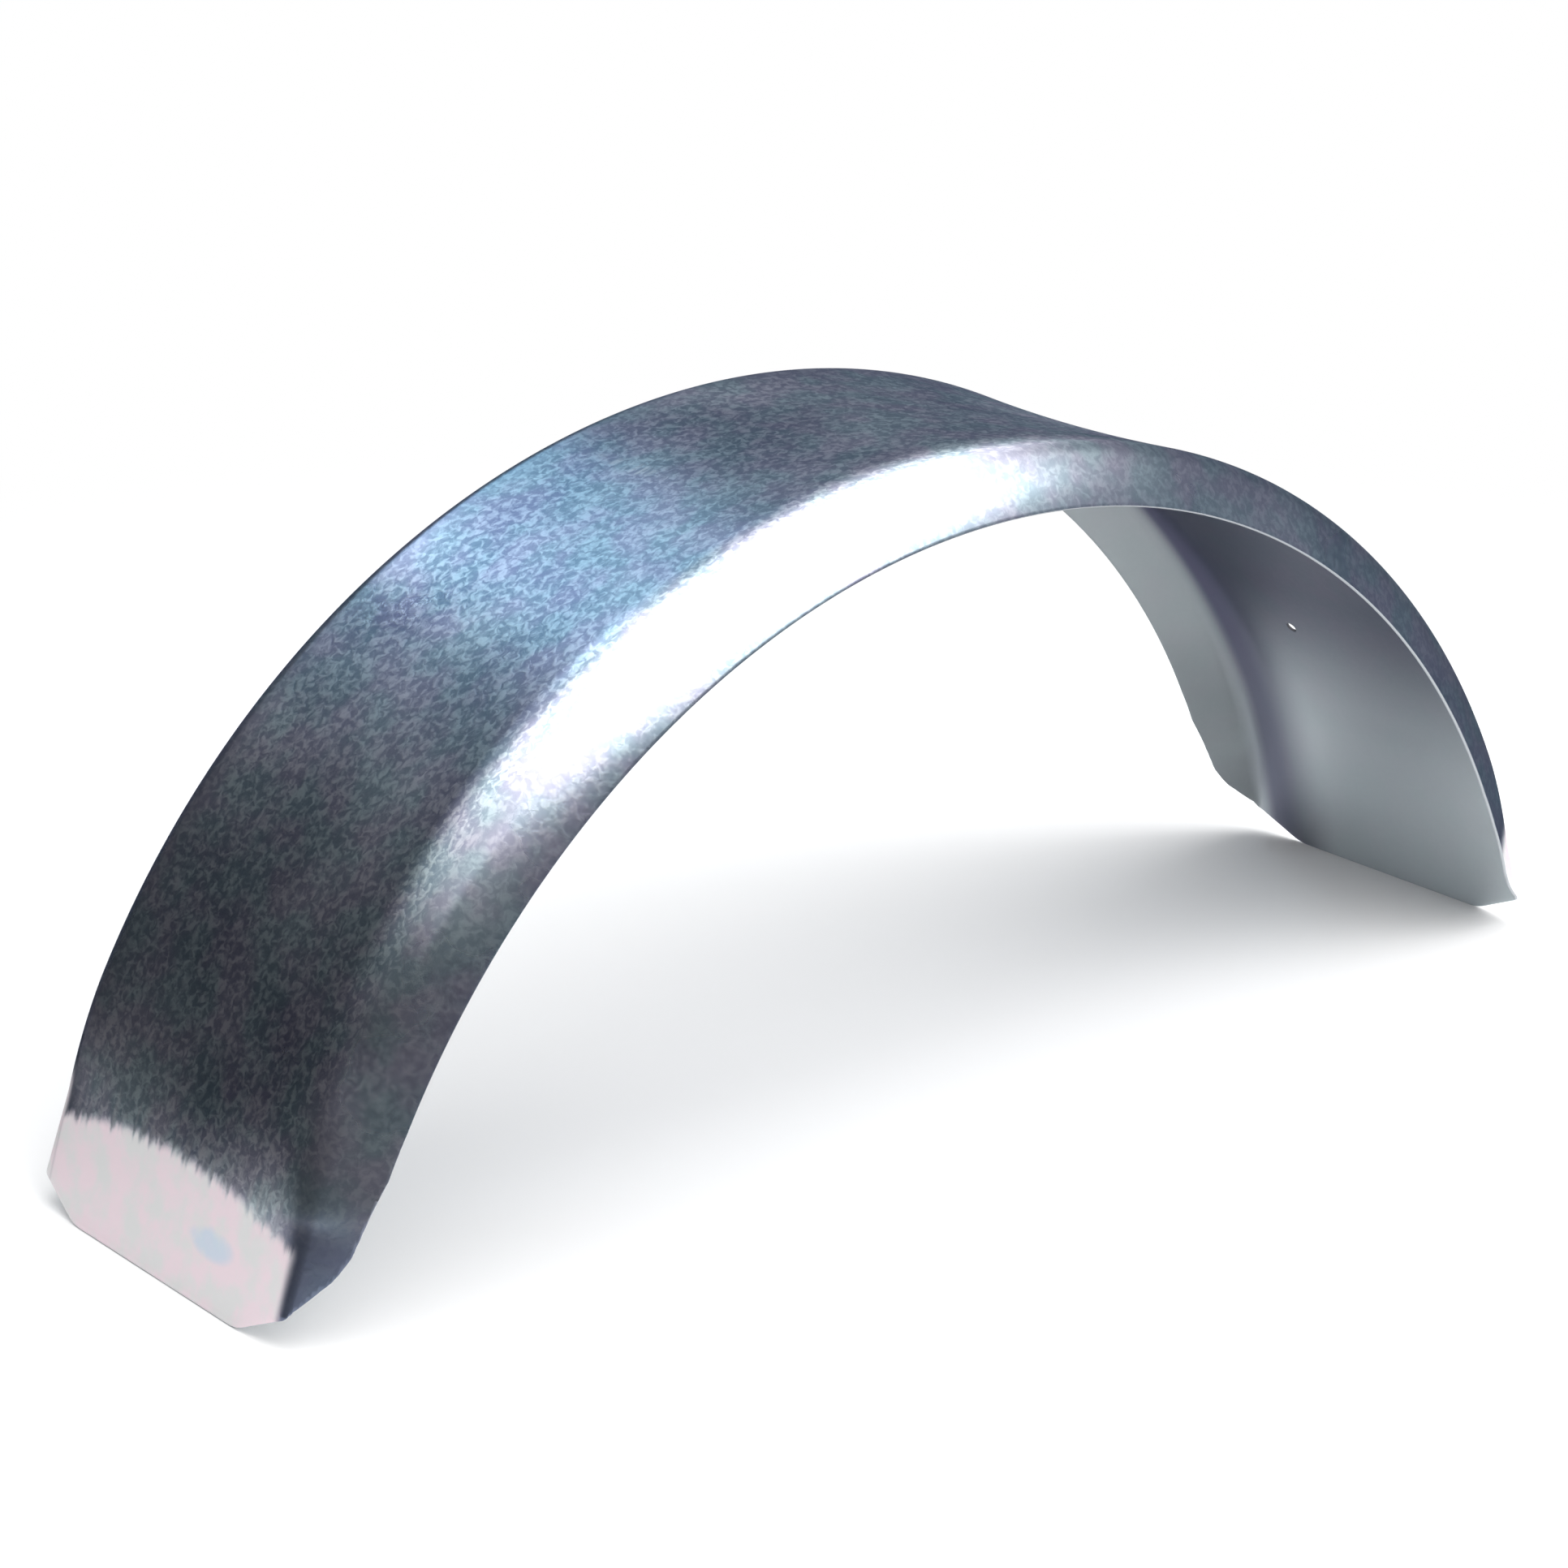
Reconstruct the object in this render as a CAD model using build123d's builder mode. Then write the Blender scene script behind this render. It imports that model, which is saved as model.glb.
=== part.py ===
from build123d import *
from math import cos, degrees, radians, sin
import os

os.makedirs("parts", exist_ok=True)

# Driving sizes in millimetres and degrees

# Sheet and overall section, measured on the outer face where the bends would meet if sharp
sheet = 1.5
width = 200.0
fold_radius = 378.0
crown_dish = 3.0
skirt_flare = 15.0
skirt_depth = 24.0
shoulder_radius = 10.0

# Angle from the top of the arch to where each flat end starts
arch_angle = 69.65

# Flat pressed ends
end_length = 49.5
end_tilt = 4.0
end_drop = 2.0
end_blend = 48.0
blend_steps = 3
end_start_half = 84.0
end_tip_half = 87.0
end_start_bend = 12.0
end_tip_bend = 3.0
end_skirt_depth = 22.0

# Trimmed corners, in plan on the flat end and measured back from its tip
trim_tip_half = 59.0
trim_tip_round = 20.0
trim_fold_along = 13.5
trim_fold_round = 4.0
trim_skirt_along = 37.0
trim_skirt_across = 3.6
trim_skirt_round = 60.0
trim_run_out = 78.0
trim_overrun = 0.4
cut_margin = 12.0

# Fixing hole, by its angle from the top of the arch and its distance from the centre line
hole_diameter = 5.5
hole_angle = 53.75
hole_offset = 18.0

# Places worked out from the driving sizes
half_width = width / 2
fold_half = half_width - skirt_flare
panel_half = min(end_start_half, end_tip_half) - end_start_bend
trim_fold_half = end_tip_half - (end_tip_half - end_start_half) * trim_fold_along / end_length
end_angle = arch_angle + end_tilt
end_start_radius = fold_radius - end_drop
blend_angle = arch_angle - degrees(end_blend / fold_radius)
tip_height = end_start_radius * cos(radians(arch_angle)) - end_length * sin(radians(end_angle))
arc_centre = Vector(0, 0, sheet * cos(radians(end_angle)) - tip_height)
arc_axis = Axis(arc_centre, (0, 1, 0))


def outward(angle):
    """Direction square to the arch, at an angle from its top towards +X."""
    return Vector(sin(radians(angle)), 0, cos(radians(angle)))


def along(angle):
    """Direction along the arch towards its +X end, at an angle from its top."""
    return Vector(cos(radians(angle)), 0, -sin(radians(angle)))


def arch_plane(angle):
    """Section plane of the arch: x runs across the guard and y outwards, from the level of the folds."""
    return Plane(arc_centre + outward(angle) * fold_radius, x_dir=(0, 1, 0), z_dir=along(angle))


def end_plane(distance):
    """Section plane of the flat end, at a distance from where the end starts."""
    return Plane(end_start + along(end_angle) * distance, x_dir=(0, 1, 0), z_dir=along(end_angle))


def folded_sheet(plane, fold, dish, bend, depth):
    """Section of the sheet: a crown between two folds, with a flared skirt beyond each fold."""
    with BuildSketch(plane) as section:
        with BuildLine() as outline:
            Line((-half_width, -depth), (-fold, 0))
            if dish > 0:
                ThreePointArc((-fold, 0), (0, -dish), (fold, 0))
            else:
                Line((-fold, 0), (fold, 0))
            Line((fold, 0), (half_width, -depth))
            fillet(outline.vertices().group_by(Axis.Y)[-1], bend)
            offset(amount=sheet, side=Side.RIGHT)
        make_face()
    return section.sketch


def folded_edge(plane, fold, bend):
    """Section of one side of a flat end, from the edge of its flat panel to the edge of its skirt."""
    with BuildSketch(plane) as section:
        with BuildLine() as outline:
            Line((panel_half, 0), (fold, 0))
            Line((fold, 0), (half_width, -end_skirt_depth))
            fillet(outline.vertices().sort_by(Axis.X)[1], bend)
            offset(amount=sheet, side=Side.RIGHT)
        make_face()
    return section.sketch


def between(first, last, share):
    """Size at a share of the way from a first size to a last one."""
    return first + (last - first) * share


# Run of the blend in side view: it leaves the arch and meets the flat end without a kink
end_start = arc_centre + outward(arch_angle) * end_start_radius
arch_finish = arc_centre + outward(blend_angle) * fold_radius
with BuildLine() as blend_run:
    Spline(arch_finish, end_start, tangents=[along(blend_angle), along(end_angle)])

# Pressed sheet
with BuildPart() as mudguard:
    # Flat end: a flat panel, then a fold and a skirt that spread towards the tip
    with BuildSketch(end_plane(0)):
        Rectangle(panel_half, sheet, align=(Align.MIN, Align.MAX))
    extrude(amount=end_length)
    fold_at_start = folded_edge(end_plane(0), end_start_half, end_start_bend)
    fold_at_tip = folded_edge(end_plane(end_length), end_tip_half, end_tip_bend)
    loft([fold_at_start.face(), fold_at_tip.face()], ruled=True)

    # Blend: the dished crown and its round shoulder run into the flat panel and its fold
    blend_sections = []
    for step in range(blend_steps + 1):
        share = step / blend_steps
        run = blend_run.edge()
        blend_section = folded_sheet(
            Plane(run @ share, x_dir=(0, 1, 0), z_dir=run % share),
            between(fold_half, end_start_half, share),
            between(crown_dish, 0, share),
            between(shoulder_radius, end_start_bend, share),
            between(skirt_depth, end_skirt_depth, share),
        )
        blend_sections.append(blend_section.face())
    loft(blend_sections)

    # One half of the end is kept and its corner trimmed, with a cut square through the flat
    split(bisect_by=Plane.XZ, keep=Keep.BOTTOM)
    flat_face = Plane(end_start, x_dir=along(end_angle), z_dir=outward(end_angle))
    with BuildSketch(flat_face.offset(cut_margin)):
        with BuildLine():
            outline = FilletPolyline(
                (end_length, 0),
                (end_length, trim_tip_half),
                (end_length - trim_fold_along, trim_fold_half),
                (end_length - trim_skirt_along, half_width - trim_skirt_across),
                (end_length - trim_run_out, half_width + trim_overrun),
                radius=[trim_tip_round, trim_fold_round, trim_skirt_round],
            )
            Polyline(
                outline @ 1,
                (end_length - trim_run_out, half_width + cut_margin),
                (end_length + cut_margin, half_width + cut_margin),
                (end_length + cut_margin, 0),
                outline @ 0,
            )
        make_face()
    extrude(amount=-end_skirt_depth - 2 * cut_margin, mode=Mode.SUBTRACT)
    mirror(about=Plane.XZ)

    # Arch, from its top to the blend
    top_section = folded_sheet(arch_plane(0), fold_half, crown_dish, shoulder_radius, skirt_depth)
    revolve(top_section, axis=arc_axis, revolution_arc=blend_angle)

    # The other half of the guard is the same
    mirror(about=Plane.YZ)

    # Fixing hole through the crown
    hole_centre = arc_centre + outward(hole_angle) * fold_radius + Vector(0, hole_offset, 0)
    with Locations(Plane(hole_centre, x_dir=(0, 1, 0), z_dir=outward(hole_angle))):
        Hole(hole_diameter / 2, depth=cut_margin)

mudguard.part.label = "mudguard"
export_step(mudguard.part, "parts/mudguard.step")
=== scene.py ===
from math import atan2, cos, pi, radians, sin, sqrt, tan

import bpy
from mathutils import Matrix, Vector


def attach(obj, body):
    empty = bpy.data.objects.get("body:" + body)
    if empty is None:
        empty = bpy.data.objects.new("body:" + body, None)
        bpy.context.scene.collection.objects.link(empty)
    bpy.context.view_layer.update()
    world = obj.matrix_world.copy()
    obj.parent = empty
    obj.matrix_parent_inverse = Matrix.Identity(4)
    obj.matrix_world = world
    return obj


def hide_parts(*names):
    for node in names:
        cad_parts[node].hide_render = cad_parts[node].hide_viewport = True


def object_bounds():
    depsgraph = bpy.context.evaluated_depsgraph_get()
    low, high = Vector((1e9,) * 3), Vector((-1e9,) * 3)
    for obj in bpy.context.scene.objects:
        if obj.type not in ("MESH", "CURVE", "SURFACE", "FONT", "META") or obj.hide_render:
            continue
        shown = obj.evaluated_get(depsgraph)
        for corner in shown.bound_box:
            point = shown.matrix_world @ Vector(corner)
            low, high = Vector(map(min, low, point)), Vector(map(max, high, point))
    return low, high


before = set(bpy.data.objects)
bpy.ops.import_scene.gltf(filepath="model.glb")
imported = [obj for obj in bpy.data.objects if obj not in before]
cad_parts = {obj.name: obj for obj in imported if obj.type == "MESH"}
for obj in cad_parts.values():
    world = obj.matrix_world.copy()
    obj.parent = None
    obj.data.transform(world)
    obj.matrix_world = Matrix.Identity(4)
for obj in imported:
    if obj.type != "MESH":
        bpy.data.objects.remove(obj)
cad_low, cad_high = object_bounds()
bpy.ops.object.select_all(action="DESELECT")

# Pressed sheet
# The guard is one strip of steel sheet, 1.5 mm thick. A quarter of it is laid out as a flat blank,
# pressed over the form of the arch and its flat end, trimmed at its corner and mirrored twice.
sheet = 0.0015
half_width = cad_high.y
skirt_flare = 0.015
skirt_depth = 0.024
fold_radius = 0.378
fold_half = half_width - skirt_flare
crown_dish = 0.003
shoulder_radius = 0.010

arch_angle = radians(69.65)
end_angle = arch_angle + radians(4.0)
end_length = 0.0495
end_drop = 0.002
end_blend = 0.048
end_skirt_depth = 0.022
end_start_half = 0.084
end_tip_half = 0.087
end_start_bend = 0.012
end_tip_bend = 0.003

arch_rows = 100
blend_rows = 16
end_rows = 20
crown_columns = 26
shoulder_columns = 14
skirt_columns = 14
rows = arch_rows + blend_rows + end_rows
columns = crown_columns + shoulder_columns + skirt_columns


def outward(angle):
    """Direction square to the arch, at an angle from its top towards +X."""
    return Vector((sin(angle), 0, cos(angle)))


def along(angle):
    """Direction along the arch towards its +X end, at an angle from its top."""
    return Vector((cos(angle), 0, -sin(angle)))


def between(first, last, share):
    """Size at a share of the way from a first size to a last one."""
    return first + (last - first) * share


end_start_radius = fold_radius - end_drop
blend_angle = arch_angle - end_blend / fold_radius
tip_height = end_start_radius * cos(arch_angle) - end_length * sin(end_angle)
arc_centre = Vector((0, 0, sheet * cos(end_angle) - tip_height))
arch_finish = arc_centre + outward(blend_angle) * fold_radius
end_start = arc_centre + outward(arch_angle) * end_start_radius
tip = end_start + along(end_angle) * end_length


def section_point(column, fold, dish, bend, depth):
    """Place across the guard and out of it, on the outer face, for one column of the blank."""
    crown_slope = 2 * atan2(dish, fold)
    skirt_slope = atan2(depth, half_width - fold)
    tangent = bend * tan((crown_slope + skirt_slope) / 2)
    crown_edge = fold - tangent * cos(crown_slope)
    if column <= crown_columns:
        across = crown_edge * column / crown_columns
        if dish < sheet / 1000:
            return across, 0.0
        crown_radius = (fold ** 2 + dish ** 2) / (2 * dish)
        return across, crown_radius - dish - sqrt(crown_radius ** 2 - across ** 2)
    _, edge_level = section_point(crown_columns, fold, dish, bend, depth)
    turned = min(1.0, (column - crown_columns) / shoulder_columns)
    slope = crown_slope - (crown_slope + skirt_slope) * turned
    across = crown_edge + bend * (sin(crown_slope) - sin(slope))
    level = edge_level + bend * (cos(slope) - cos(crown_slope))
    down = max(0.0, (column - crown_columns - shoulder_columns) / skirt_columns)
    return between(across, half_width, down), between(level, -depth, down)


def press(row, column):
    """Place of one point of the blank once it is pressed: on the arch, the blend or the flat end."""
    if row <= arch_rows:
        angle = blend_angle * row / arch_rows
        start = arc_centre + outward(angle) * fold_radius
        square = outward(angle)
        sizes = fold_half, crown_dish, shoulder_radius, skirt_depth
    elif row <= arch_rows + blend_rows:
        share = (row - arch_rows) / blend_rows
        travel = end_start - arch_finish
        first = along(blend_angle) * travel.length
        last = along(end_angle) * travel.length
        late_bow = first + last - 2 * travel
        early_bow = 3 * travel - 2 * first - last
        bow = late_bow * share ** 3 + early_bow * share ** 2
        start = arch_finish + bow + first * share
        run = (late_bow * 3 * share ** 2 + early_bow * 2 * share + first).normalized()
        square = Vector((-run.z, 0, run.x))
        sizes = (
            between(fold_half, end_start_half, share),
            between(crown_dish, 0, share),
            between(shoulder_radius, end_start_bend, share),
            between(skirt_depth, end_skirt_depth, share),
        )
    else:
        share = (row - arch_rows - blend_rows) / end_rows
        start = end_start + along(end_angle) * end_length * share
        square = outward(end_angle)
        fold = between(end_start_half, end_tip_half, share)
        sizes = fold, 0, between(end_start_bend, end_tip_bend, share), end_skirt_depth
    across, level = section_point(column, *sizes)
    return start + square * level + Vector((0, across, 0))


bpy.ops.mesh.primitive_grid_add(
    x_subdivisions=rows, y_subdivisions=columns, size=1, location=(rows / 2, columns / 2, 0)
)
guard = bpy.context.object
guard.name = "pressed_sheet"
bpy.ops.transform.resize(value=(rows, columns, 1))
bpy.ops.object.transform_apply(location=True, rotation=True, scale=True)
for point in guard.data.vertices:
    point.co = press(round(point.co.x), round(point.co.y))

# Trimmed corner
# The corner of the strip is cut away on a slant with rounded turns, square through the flat and the skirt.
# The outline is in plan on the flat end: distance from the tip, then place across the guard.
trim_corners = [(0.0, 0.059), (0.0135, 0.0862), (0.037, 0.0964), (0.078, 0.1004)]
trim_rounds = [0.020, 0.004, 0.060]
trim_steps = 6
merge_distance = 0.0001


def rounded_turn(before, corner, after, radius):
    """Points on the round that replaces a corner of an outline."""
    to_before = (before - corner).normalized()
    to_after = (after - corner).normalized()
    half_turn = (pi - to_before.angle(to_after)) / 2
    reach = radius * tan(half_turn)
    centre = corner + (to_before + to_after).normalized() * radius / cos(half_turn)
    first = corner + to_before * reach - centre
    last = corner + to_after * reach - centre
    return [centre + first.slerp(last, step / trim_steps) * radius for step in range(trim_steps + 1)]


corners = [Vector((0.0, 0.0)), *[Vector(corner) for corner in trim_corners]]
outline = []
for number, radius in enumerate(trim_rounds):
    outline += rounded_turn(*corners[number : number + 3], radius)
outline.append(corners[-1])

bpy.ops.object.mode_set(mode="EDIT")
for first, second in zip(outline, outline[1:]):
    run = second - first
    cut_place = tip - along(end_angle) * first.x + Vector((0, first.y, 0))
    cut_normal = (along(end_angle) * run.y + Vector((0, run.x, 0))).normalized()
    bpy.ops.mesh.select_all(action="SELECT")
    bpy.ops.mesh.bisect(plane_co=cut_place, plane_no=cut_normal, clear_outer=True)
bpy.ops.mesh.select_all(action="SELECT")
bpy.ops.mesh.remove_doubles(threshold=merge_distance)
bpy.ops.mesh.normals_make_consistent(inside=False)
bpy.ops.object.mode_set(mode="OBJECT")

mirror = guard.modifiers.new("other three quarters", "MIRROR")
mirror.use_axis = (True, True, False)
mirror.merge_threshold = merge_distance / 2
bpy.ops.object.modifier_apply(modifier=mirror.name)

for name in ("galvanised_outside", "galvanised_inside", "cut_edge"):
    guard.data.materials.append(bpy.data.materials.new(name))
wall = guard.modifiers.new("sheet thickness", "SOLIDIFY")
wall.thickness = sheet
wall.offset = -1
wall.use_even_offset = True
wall.material_offset = 1
wall.material_offset_rim = 2
bpy.ops.object.modifier_apply(modifier=wall.name)

# Fixing hole
# One small hole is punched through the crown, for the screw that holds the guard to its bracket.
hole_diameter = 0.0055
hole_angle = radians(53.75)
hole_offset = 0.018
hole_sides = 48
punch_length = sheet * 12
bpy.ops.mesh.primitive_cylinder_add(
    vertices=hole_sides,
    radius=hole_diameter / 2,
    depth=punch_length,
    location=arc_centre + outward(hole_angle) * fold_radius + Vector((0, hole_offset, 0)),
    rotation=(0, hole_angle, 0),
)
punch = bpy.context.object
punch.data.materials.append(bpy.data.materials.new("punched_wall"))
bpy.ops.object.select_all(action="DESELECT")
bpy.context.view_layer.objects.active = guard
guard.select_set(True)
hole = guard.modifiers.new("fixing hole", "BOOLEAN")
hole.object = punch
hole.operation = "DIFFERENCE"
hole.solver = "EXACT"
hole.material_mode = "TRANSFER"
bpy.ops.object.modifier_apply(modifier=hole.name)
bpy.data.objects.remove(punch)

# Cut edges
# Shears and punch leave the edge of the sheet square, with its corners just broken.
edge_break = 0.00025
edge_angle = radians(50)
smooth_angle = radians(35)
edges = guard.modifiers.new("broken edges", "BEVEL")
edges.width = edge_break
edges.segments = 2
edges.limit_method = "ANGLE"
edges.angle_limit = edge_angle
edges.use_clamp_overlap = False
bpy.ops.object.modifier_apply(modifier=edges.name)
bpy.ops.object.shade_smooth_by_angle(angle=smooth_angle)

# Galvanised zinc
# The sheet is dipped in zinc, which sets in small crystals of uneven shade and dulls in soft clouds.
# The pressed ends are pressed flat and painted pale: partly zinc rubbed pale by the press, partly painted
# reflection of the floor.
blue_dark = (0.17, 0.25, 0.34, 1)
violet_dark = (0.23, 0.24, 0.38, 1)
blue_light = (0.82, 0.96, 1.00, 1)
violet_light = (0.92, 0.92, 1.00, 1)
wisp_grain = 290.0
speck_grain = 900.0
cloud_grain = 13.0
tint_grain = 45.0
wisp_zone = (0.38, 0.68)
tint_zone = (0.35, 0.65)
wisp_share = 0.54
speck_share = 0.25
cloud_share = 0.60
middle_grain = 0.66
middle_shade = 0.45
crystal_relief = 0.12
crystal_height = 0.0003


def socket(group, name, kind, way="INPUT", value=None):
    """One named input or output of a node group."""
    made = group.interface.new_socket(name=name, in_out=way, socket_type=kind)
    if value is not None:
        made.default_value = value


def join(tree, *pairs):
    """Links outputs to inputs, one pair after another."""
    for source, target in pairs:
        tree.links.new(source, target)


def math_node(tree, operation, first, second=None, clamp=False):
    """A math node with its inputs linked or set."""
    node = tree.nodes.new("ShaderNodeMath")
    node.operation = operation
    node.use_clamp = clamp
    for value, target in zip((first, second), node.inputs):
        if isinstance(value, (int, float)):
            target.default_value = value
        elif value is not None:
            tree.links.new(value, target)
    return node.outputs[0]


def times(tree, first, second):
    """The product of two values, each linked or set."""
    return math_node(tree, "MULTIPLY", first, second)


def without(tree, mask, other):
    """A mask kept only where another mask is not."""
    return times(tree, mask, math_node(tree, "SUBTRACT", 1.0, other))


def ramp_between(tree, value, low, high):
    """0 at a low value and 1 at a high one, with a soft step between them."""
    node = tree.nodes.new("ShaderNodeMapRange")
    node.interpolation_type = "SMOOTHSTEP"
    node.inputs["From Min"].default_value = low
    node.inputs["From Max"].default_value = high
    tree.links.new(value, node.inputs["Value"])
    return node.outputs["Result"]


def noise(tree, vector, scale, detail, distortion=0.0):
    """A noise of an even size, from 0 to 1."""
    node = tree.nodes.new("ShaderNodeTexNoise")
    node.inputs["Scale"].default_value = scale
    node.inputs["Detail"].default_value = detail
    node.inputs["Distortion"].default_value = distortion
    tree.links.new(vector, node.inputs["Vector"])
    return node.outputs["Fac"]


def colour_mix(tree, share, first, second):
    """A mix of two colours, each linked or set."""
    node = tree.nodes.new("ShaderNodeMix")
    node.data_type = "RGBA"
    tree.links.new(share, node.inputs[0])
    for value, target in ((first, node.inputs[6]), (second, node.inputs[7])):
        if isinstance(value, tuple):
            target.default_value = value
        else:
            tree.links.new(value, target)
    return node.outputs[2]


spangle = bpy.data.node_groups.new("zinc spangle", "ShaderNodeTree")
socket(spangle, "Vector", "NodeSocketVector")
socket(spangle, "Contrast", "NodeSocketFloat", value=1.0)
socket(spangle, "Shade", "NodeSocketFloat", "OUTPUT")
socket(spangle, "Cloud", "NodeSocketFloat", "OUTPUT")
into = spangle.nodes.new("NodeGroupInput")
out = spangle.nodes.new("NodeGroupOutput")
wisps = noise(spangle, into.outputs["Vector"], wisp_grain, 3.0, 0.7)
wisps = ramp_between(spangle, wisps, *wisp_zone)
specks = noise(spangle, into.outputs["Vector"], speck_grain, 2.0, 0.6)
cloud = noise(spangle, into.outputs["Vector"], cloud_grain, 3.0, 0.4)
grain = times(spangle, wisps, wisp_share)
grain = math_node(spangle, "ADD", grain, times(spangle, specks, speck_share))
grain = math_node(spangle, "ADD", grain, times(spangle, cloud, cloud_share))
uneven = math_node(spangle, "SUBTRACT", grain, middle_grain)
uneven = times(spangle, uneven, into.outputs["Contrast"])
join(
    spangle,
    (math_node(spangle, "ADD", uneven, middle_shade, clamp=True), out.inputs["Shade"]),
    (cloud, out.inputs["Cloud"]),
)

# The crown rolls over into its shoulder more softly than the fold alone. Each turn of the face has its
# start across the guard, its width and the slope that it adds, and all fade towards the flat end
shoulder_turns = [(0.053, 0.026, -0.60), (0.079, 0.009, 1.15), (0.088, 0.011, -0.55)]
shoulder_zone = (0.050, 0.120)


def run_on(tree, value, start, width, slope):
    """Height of a surface whose slope grows from 0 at a start to a full slope over a width."""
    past = math_node(tree, "SUBTRACT", value, start)
    inside = math_node(tree, "MULTIPLY", past, 1 / width, clamp=True)
    curved = times(tree, math_node(tree, "POWER", inside, 2.0), width / 2)
    beyond = math_node(tree, "MAXIMUM", math_node(tree, "SUBTRACT", past, width), 0.0)
    return times(tree, math_node(tree, "ADD", curved, beyond), slope)


roll = bpy.data.node_groups.new("soft shoulder", "ShaderNodeTree")
socket(roll, "Across", "NodeSocketFloat")
socket(roll, "Level", "NodeSocketFloat")
socket(roll, "Height", "NodeSocketFloat", "OUTPUT")
into = roll.nodes.new("NodeGroupInput")
out = roll.nodes.new("NodeGroupOutput")
first, second, third = [run_on(roll, into.outputs["Across"], *turn) for turn in shoulder_turns]
height = math_node(roll, "ADD", math_node(roll, "ADD", first, second), third)
on_arch = ramp_between(roll, into.outputs["Level"], *shoulder_zone)
join(roll, (times(roll, height, on_arch), out.inputs["Height"]))


def zinc_surface(tree, vector, contrast, smoothest, roughest, side):
    """Colour, roughness and relief of dipped zinc, on the outside (1) or the inside (-1)."""
    split = tree.nodes.new("ShaderNodeSeparateXYZ")
    grains = tree.nodes.new("ShaderNodeGroup")
    grains.node_tree = spangle
    if isinstance(contrast, float):
        grains.inputs["Contrast"].default_value = contrast
    else:
        tree.links.new(contrast, grains.inputs["Contrast"])
    tree.links.new(vector, grains.inputs["Vector"])
    tint = ramp_between(tree, noise(tree, vector, tint_grain, 2.0), *tint_zone)
    dark = colour_mix(tree, tint, blue_dark, violet_dark)
    light = colour_mix(tree, tint, blue_light, violet_light)
    shade = colour_mix(tree, grains.outputs["Shade"], dark, light)
    gloss = tree.nodes.new("ShaderNodeMapRange")
    gloss.inputs["To Min"].default_value = smoothest
    gloss.inputs["To Max"].default_value = roughest
    relief = tree.nodes.new("ShaderNodeBump")
    relief.inputs["Strength"].default_value = crystal_relief
    relief.inputs["Distance"].default_value = crystal_height
    join(
        tree,
        (grains.outputs["Cloud"], gloss.inputs["Value"]),
        (grains.outputs["Shade"], relief.inputs["Height"]),
        (relief.outputs["Normal"], tree.nodes["Principled BSDF"].inputs["Normal"]),
    )
    shoulder = tree.nodes.new("ShaderNodeGroup")
    shoulder.node_tree = roll
    turn = tree.nodes.new("ShaderNodeBump")
    turn.inputs["Distance"].default_value = 1.0
    join(
        tree,
        (vector, split.inputs[0]),
        (times(tree, split.outputs["Y"], -side), shoulder.inputs["Across"]),
        (split.outputs["Z"], shoulder.inputs["Level"]),
        (times(tree, shoulder.outputs["Height"], side), turn.inputs["Height"]),
        (turn.outputs["Normal"], relief.inputs["Normal"]),
    )
    return shade, gloss.outputs["Result"]


outside, inside, cut_edge, punched_wall = guard.data.materials
for material in (outside, inside, cut_edge, punched_wall):
    material.use_nodes = True

# Inside face: the same zinc, calmer, under painted light and shade: painted pale near the ground where the
# floor is mirrored, painted dark higher up, painted lighter on the far skirt, and a band of painted violet
# shade next to the far shoulder
inside_painted_floor_light = (0.70, 0.76, 0.78, 1)
inside_painted_shade = (0.09, 0.095, 0.14, 1)
inside_skirt_painted_light = (0.50, 0.54, 0.55, 1)
inside_painted_violet_shade = (0.10, 0.10, 0.17, 1)
painted_inside_share = 0.88
shade_band_share = 0.1
shade_band_strength = 0.85
painted_shade_zone = (0.05, 0.17)
shade_band_zone = (0.030, 0.068)
band_end = (0.072, 0.088)
tree = inside.node_tree
surface = tree.nodes["Principled BSDF"]
surface.inputs["Metallic"].default_value = 1.0
place = tree.nodes.new("ShaderNodeTexCoord")
split = tree.nodes.new("ShaderNodeSeparateXYZ")
join(tree, (place.outputs["Object"], split.inputs[0]))
shade, gloss = zinc_surface(
    tree, place.outputs["Object"], contrast=0.15, smoothest=0.40, roughest=0.48, side=-1.0
)
shade_band = times(tree, ramp_between(tree, split.outputs["Y"], *shade_band_zone), shade_band_strength)
far_skirt = ramp_between(tree, split.outputs["Y"], *band_end)
shade_band = without(tree, shade_band, far_skirt)
# Painted light and shade: pale low down, dark higher up, lighter on the far skirt, and a painted violet
# shade band by the far shoulder
inside_painted_light_and_shade = colour_mix(tree, ramp_between(tree, split.outputs["Z"], *painted_shade_zone), inside_painted_floor_light, inside_painted_shade)
inside_painted_light_and_shade = colour_mix(tree, far_skirt, inside_painted_light_and_shade, inside_skirt_painted_light)
inside_painted_light_and_shade = colour_mix(tree, shade_band, inside_painted_light_and_shade, inside_painted_violet_shade)
painted_share = math_node(tree, "ADD", times(tree, shade_band, shade_band_share), painted_inside_share)
shade = colour_mix(tree, painted_share, shade, inside_painted_light_and_shade)
join(tree, (shade, surface.inputs["Base Color"]), (gloss, surface.inputs["Roughness"]))

# Cut edges: bare and light
edge_colour = (0.46, 0.49, 0.52, 1)
surface = cut_edge.node_tree.nodes["Principled BSDF"]
surface.inputs["Base Color"].default_value = edge_colour
surface.inputs["Metallic"].default_value = 0.6
surface.inputs["Roughness"].default_value = 0.45

# Wall of the hole: dull, and painted near black as painted shade inside the hole
hole_painted_shade_colour = (0.05, 0.05, 0.06, 1)
surface = punched_wall.node_tree.nodes["Principled BSDF"]
surface.inputs["Base Color"].default_value = hole_painted_shade_colour
surface.inputs["Roughness"].default_value = 0.7

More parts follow.
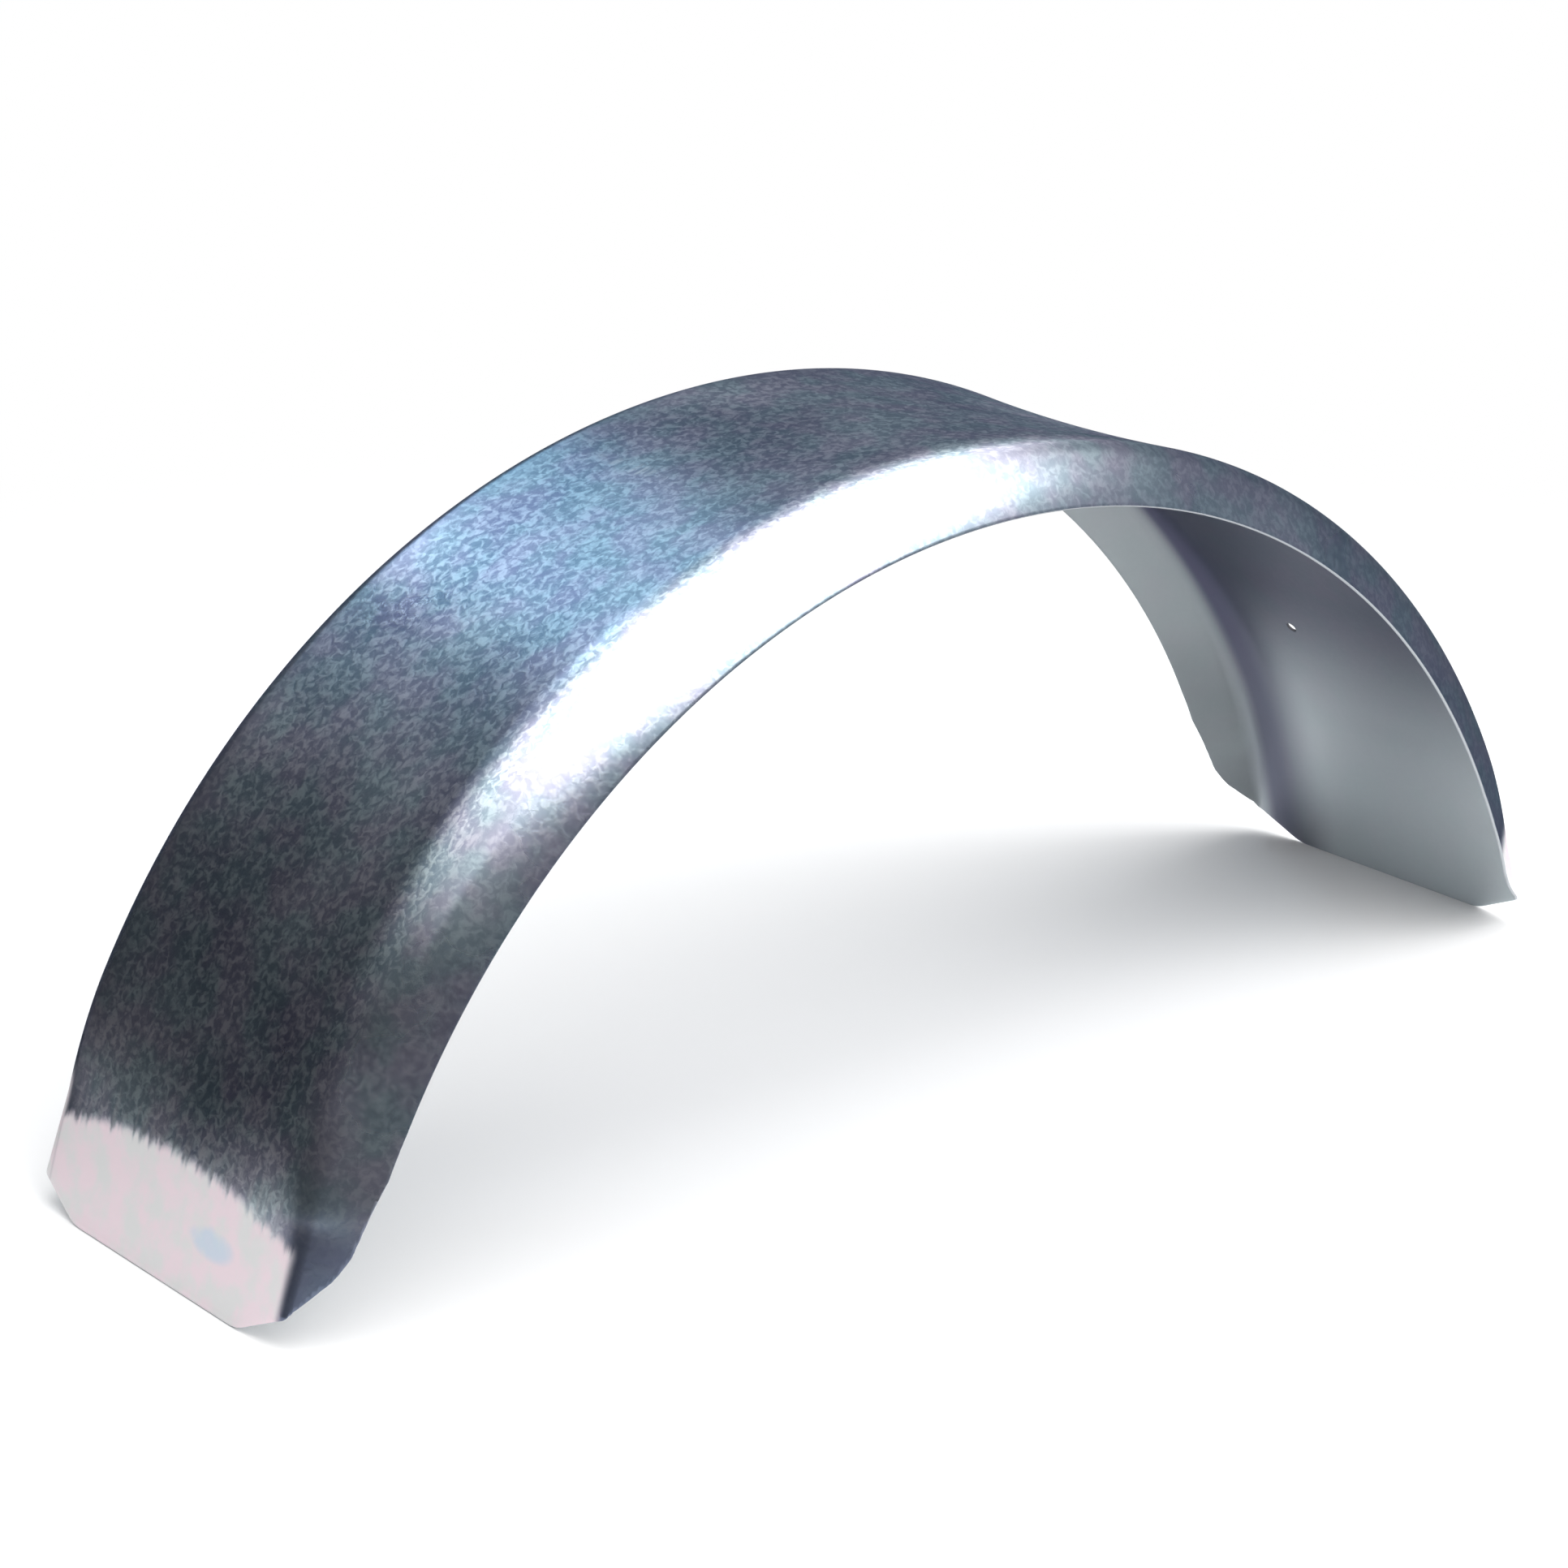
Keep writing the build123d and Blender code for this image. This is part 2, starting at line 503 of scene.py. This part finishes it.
# Outside face: its place is measured back from the tip along the flat end, and across the guard
tree = outside.node_tree
surface = tree.nodes["Principled BSDF"]
place = tree.nodes.new("ShaderNodeTexCoord")
split = tree.nodes.new("ShaderNodeSeparateXYZ")
join(tree, (place.outputs["Object"], split.inputs[0]))
off_centre = math_node(tree, "ABSOLUTE", split.outputs["Y"])
from_middle = math_node(tree, "ABSOLUTE", split.outputs["X"])
inward = times(tree, math_node(tree, "SUBTRACT", tip.x, from_middle), cos(end_angle))
upward = times(tree, math_node(tree, "SUBTRACT", split.outputs["Z"], tip.z), sin(end_angle))
from_tip = math_node(tree, "ADD", inward, upward)

# The grain is calmer on the skirts
skirt_zone = (0.066, 0.086)
skirt_calm = 0.5
on_skirt = ramp_between(tree, off_centre, *skirt_zone)
contrast = math_node(tree, "SUBTRACT", 1.0, times(tree, on_skirt, skirt_calm))
shade, gloss = zinc_surface(
    tree, place.outputs["Object"], contrast=contrast, smoothest=0.24, roughest=0.36, side=1.0
)

# Pale streaks run down to the flat end: partly rubbed zinc, and partly painted light that grows towards the
# bright flat end
streak_and_painted_light_colour = (0.92, 0.93, 0.97, 1)
streak_grain = 260.0
streak_stretch = 0.05
streak_zone = (0.072, 0.044)
streak_strength = 0.5
drawn_out = tree.nodes.new("ShaderNodeCombineXYZ")
join(
    tree,
    (split.outputs["Y"], drawn_out.inputs[0]),
    (times(tree, from_tip, streak_stretch), drawn_out.inputs[1]),
)
streaks = ramp_between(tree, noise(tree, drawn_out.outputs[0], streak_grain, 3.0), 0.42, 0.70)
near_end = ramp_between(tree, from_tip, *streak_zone)
# Painted light, with rubbed streaks: the streaks grow paler towards the flat end
rubbed_and_painted_light = times(tree, times(tree, streaks, near_end), streak_strength)
rubbed_and_painted_light = without(tree, rubbed_and_painted_light, on_skirt)
shade = colour_mix(tree, rubbed_and_painted_light, shade, streak_and_painted_light_colour)

# Painted shade: the skirts are painted darker towards the ends
painted_skirt_shade_colour = (0.10, 0.12, 0.18, 1)
painted_skirt_shade_zone = (0.080, 0.040)
painted_skirt_shade_strength = 0.92
painted_skirt_shade = times(tree, ramp_between(tree, from_tip, *painted_skirt_shade_zone), on_skirt)
painted_skirt_shade = times(tree, painted_skirt_shade, painted_skirt_shade_strength)
shade = colour_mix(tree, painted_skirt_shade, shade, painted_skirt_shade_colour)

# The flat end is painted pale, partly rubbed zinc and partly painted reflection of the floor, up to a bend
# line that curves towards the tip at its sides. The skirt ends are painted pale too at the far left and the
# near right: painted reflection
pad_pink = (0.84, 0.71, 0.76, 1)
pad_grey = (0.74, 0.74, 0.74, 1)
pad_grain = 75.0
bend_line_curve = 1.6
bend_line_teeth = 0.004
pad_length_zone = (0.0545, 0.0480)
pad_width_zone = (0.0855, 0.0800)
skirt_end_length_zone = (0.064, 0.050)
skirt_end_width_zone = (0.078, 0.083)
curve = times(tree, math_node(tree, "POWER", off_centre, 2.0), bend_line_curve)
pad_edge = math_node(tree, "ADD", from_tip, curve)
pad_edge = math_node(tree, "ADD", pad_edge, times(tree, streaks, bend_line_teeth))
on_length = ramp_between(tree, pad_edge, *pad_length_zone)
on_width = ramp_between(tree, off_centre, *pad_width_zone)
# Painted light: the pale flat end is partly painted reflection of the floor, and the pale skirt ends are
# all painted reflection
pale_end_and_reflection = times(tree, on_length, on_width)
opposite = times(tree, split.outputs["X"], split.outputs["Y"])
opposite = math_node(tree, "LESS_THAN", opposite, 0.0)
skirt_end_painted_light = ramp_between(tree, from_tip, *skirt_end_length_zone)
skirt_end_painted_light = times(tree, skirt_end_painted_light, ramp_between(tree, off_centre, *skirt_end_width_zone))
pale_end_and_reflection = math_node(tree, "MAXIMUM", pale_end_and_reflection, times(tree, skirt_end_painted_light, opposite))
faint = ramp_between(tree, noise(tree, place.outputs["Object"], pad_grain, 5.0), 0.36, 0.66)
shade = colour_mix(tree, pale_end_and_reflection, shade, colour_mix(tree, faint, pad_pink, pad_grey))


def mark(first, first_place, first_reach, second, second_place, second_reach):
    """1 at a place on the face, fading with a ragged edge to 0 at a reach from it in two directions."""
    one = times(tree, math_node(tree, "SUBTRACT", first, first_place), 1 / first_reach)
    two = times(tree, math_node(tree, "SUBTRACT", second, second_place), 1 / second_reach)
    squares = math_node(tree, "ADD", math_node(tree, "POWER", one, 2.0), math_node(tree, "POWER", two, 2.0))
    ragged = math_node(tree, "ADD", squares, times(tree, faint, 0.45))
    return ramp_between(tree, ragged, 1.15, 0.3)


# Two small marks: a blue spot on one flat end and a pale scuff near the top
spot_colour = (0.55, 0.68, 0.80, 1)
scuff_colour = (1.0, 1.0, 1.0, 1)
spot_strength = 0.75
scuff_strength = 0.8
left_end = math_node(tree, "LESS_THAN", split.outputs["X"], 0.0)
spot = mark(from_tip, 0.0250, 0.0075, split.outputs["Y"], -0.0325, 0.0170)
spot = times(tree, times(tree, spot, left_end), spot_strength)
shade = colour_mix(tree, spot, shade, spot_colour)
scuff = mark(split.outputs["X"], -0.0985, 0.0050, split.outputs["Y"], 0.034, 0.024)
scuff = times(tree, times(tree, scuff, streaks), scuff_strength)
shade = colour_mix(tree, scuff, shade, scuff_colour)
join(tree, (shade, surface.inputs["Base Color"]))

# The pale ends, rubbed and partly painted reflection, are less metallic and duller than the zinc, and the
# skirts a little glossier
zinc_metal = 0.965
pad_metal = 0.15
pad_dullness = 0.2
skirt_polish = 0.02
metal = math_node(tree, "SUBTRACT", zinc_metal, times(tree, pale_end_and_reflection, zinc_metal - pad_metal))
dull = math_node(tree, "ADD", gloss, times(tree, pale_end_and_reflection, pad_dullness))
dull = math_node(tree, "SUBTRACT", dull, times(tree, on_skirt, skirt_polish))
join(tree, (metal, surface.inputs["Metallic"]), (dull, surface.inputs["Roughness"]))

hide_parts("mudguard")
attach(guard, "root")

# Studio
# A white floor, a light overhead, a long panel in front and two small bluish lights behind. Dark cards
# round the guard and on the floor, and a tall blue-grey one behind, are seen only in the zinc.
floor_size = 14.0
white_zone = (0.45, 1.10)
floor_colour = (0.92, 0.92, 0.92, 1)


def seen_background(tree):
    """1 for the camera and for mirrored and see-through rays."""
    path = tree.nodes.new("ShaderNodeLightPath")
    seen = math_node(tree, "MAXIMUM", path.outputs["Is Camera Ray"], path.outputs["Is Glossy Ray"])
    return math_node(tree, "MAXIMUM", seen, path.outputs["Is Transmission Ray"])


bpy.ops.mesh.primitive_plane_add(size=floor_size)
floor = bpy.context.object
floor.name = "floor"
paper = bpy.data.materials.new("white_paper")
paper.use_nodes = True
tree = paper.node_tree
surface = tree.nodes["Principled BSDF"]
surface.inputs["Base Color"].default_value = floor_colour
surface.inputs["Roughness"].default_value = 0.9
surface.inputs["Specular IOR Level"].default_value = 0.0
place = tree.nodes.new("ShaderNodeTexCoord")
length = tree.nodes.new("ShaderNodeVectorMath")
length.operation = "LENGTH"
join(tree, (place.outputs["Object"], length.inputs[0]))
far = times(tree, ramp_between(tree, length.outputs["Value"], *white_zone), seen_background(tree))
white = tree.nodes.new("ShaderNodeEmission")
blend = tree.nodes.new("ShaderNodeMixShader")
join(
    tree,
    (far, blend.inputs[0]),
    (surface.outputs[0], blend.inputs[1]),
    (white.outputs[0], blend.inputs[2]),
    (blend.outputs[0], tree.nodes["Material Output"].inputs["Surface"]),
)
floor.data.materials.append(paper)

card_radius = 1.6
card_height = 1.5
card_lift = 0.003
left_card_colour = (0.020, 0.020, 0.024, 1)
right_card_colour = (0.034, 0.052, 0.090, 1)
tall_card_colour = (0.19, 0.27, 0.36, 1)


def card_material(name):
    """A material that mirrors nothing, and the input that takes the colour of its faint glow."""
    made = bpy.data.materials.new(name)
    made.use_nodes = True
    face = made.node_tree.nodes["Principled BSDF"]
    face.inputs["Base Color"].default_value = (0.0, 0.0, 0.0, 1)
    face.inputs["Specular IOR Level"].default_value = 0.0
    face.inputs["Emission Strength"].default_value = 1.0
    return made, face.inputs["Emission Color"]


def flat_card(place, size, turned=(0, 0, 0)):
    """A flat card at a place, of a width and a length."""
    bpy.ops.mesh.primitive_plane_add(size=1, location=place, rotation=turned)
    made = bpy.context.object
    made.scale = (*size, 1)
    return made


bpy.ops.mesh.primitive_cylinder_add(
    vertices=64,
    radius=card_radius,
    depth=card_height,
    end_fill_type="NOTHING",
    location=(0, 0, card_height / 2),
)
cards = bpy.context.object
cards.name = "dark_cards"
black, glow = card_material("dark_card")
tree = black.node_tree
place = tree.nodes.new("ShaderNodeNewGeometry")
split = tree.nodes.new("ShaderNodeSeparateXYZ")
side = ramp_between(tree, split.outputs["X"], -1.1, 0.6)
card_shade = colour_mix(tree, side, left_card_colour, right_card_colour)
join(tree, (place.outputs["Position"], split.inputs[0]), (card_shade, glow))
blue_grey, glow = card_material("blue_grey_card")
glow.default_value = tall_card_colour
tall_card = flat_card((-0.1, 1.55, 2.4), (2.4, 1.9), (pi / 2, 0, 0))
low_card = flat_card((1.03, 0.1, card_lift), (1.2, 2.4))
side_card = flat_card((-0.75, -0.95, card_lift), (1.4, 1.2))
back_card = flat_card((0.0, 0.85, card_lift), (1.5, 1.4))
for card in (cards, tall_card, low_card, side_card, back_card):
    card.data.materials.append(blue_grey if card == tall_card else black)
    card.visible_camera = False
    card.visible_diffuse = False
    card.visible_shadow = False
    card.visible_transmission = False


def soft_light(name, place, aim, size, radiance, colour):
    """A rectangular soft light of an even brightness, turned to face a point."""
    data = bpy.data.lights.new(name, "AREA")
    data.shape = "RECTANGLE"
    data.size, data.size_y = size
    data.energy = radiance * pi * size[0] * size[1]
    data.color = colour
    light = bpy.data.objects.new(name, data)
    facing = (Vector(aim) - Vector(place)).to_track_quat("-Z", "Y")
    light.matrix_world = Matrix.Translation(place) @ facing.to_matrix().to_4x4()
    light.visible_camera = False
    bpy.context.scene.collection.objects.link(light)


soft_light("overhead", (0.1, -0.35, 1.75), (0.1, -0.35, 0), (2.3, 2.1), 2.1, (1.0, 1.0, 1.0))
soft_light("front", (0.68, -1.40, 1.2), (0.18, 0.02, 0.3), (3.50, 1.30), 2.7, (1.0, 1.0, 1.0))
soft_light("behind", (0.20, 1.45, 1.38), (0, 0, 0.2), (0.76, 0.55), 0.85, (0.40, 0.72, 1.0))
soft_light("high_behind", (-0.24, 1.45, 1.97), (0, 0, 0.2), (0.36, 0.36), 5.0, (0.74, 0.88, 1.0))

world = bpy.data.worlds.new("studio")
bpy.context.scene.world = world
world.use_nodes = True
sky = world.node_tree
backdrop = sky.nodes["Background"]
backdrop.inputs["Color"].default_value = (1, 1, 1, 1)
level = sky.nodes.new("ShaderNodeMapRange")
level.inputs["To Min"].default_value = 0.5
level.inputs["To Max"].default_value = 1.0
join(
    sky,
    (seen_background(sky), level.inputs["Value"]),
    (level.outputs["Result"], backdrop.inputs["Strength"]),
)

# Camera
# It stands where the photograph was taken from, with the same long lens.
camera_place = Vector((-1.1299, -1.2503, 0.7189))
camera_right = Vector((0.7582, -0.6518, 0.0185))
camera_up = Vector((0.2031, 0.2630, 0.9432))
camera_data = bpy.data.cameras.new("camera")
camera_data.lens = 93.17
camera_data.sensor_width = 36
camera = bpy.data.objects.new("camera", camera_data)
bpy.context.scene.collection.objects.link(camera)
camera_back = camera_right.cross(camera_up).normalized()
camera_axes = Matrix((camera_right, camera_up, camera_back)).transposed()
camera.matrix_world = Matrix.Translation(camera_place) @ camera_axes.to_4x4()
bpy.context.scene.camera = camera
bpy.context.scene.view_settings.view_transform = "Standard"
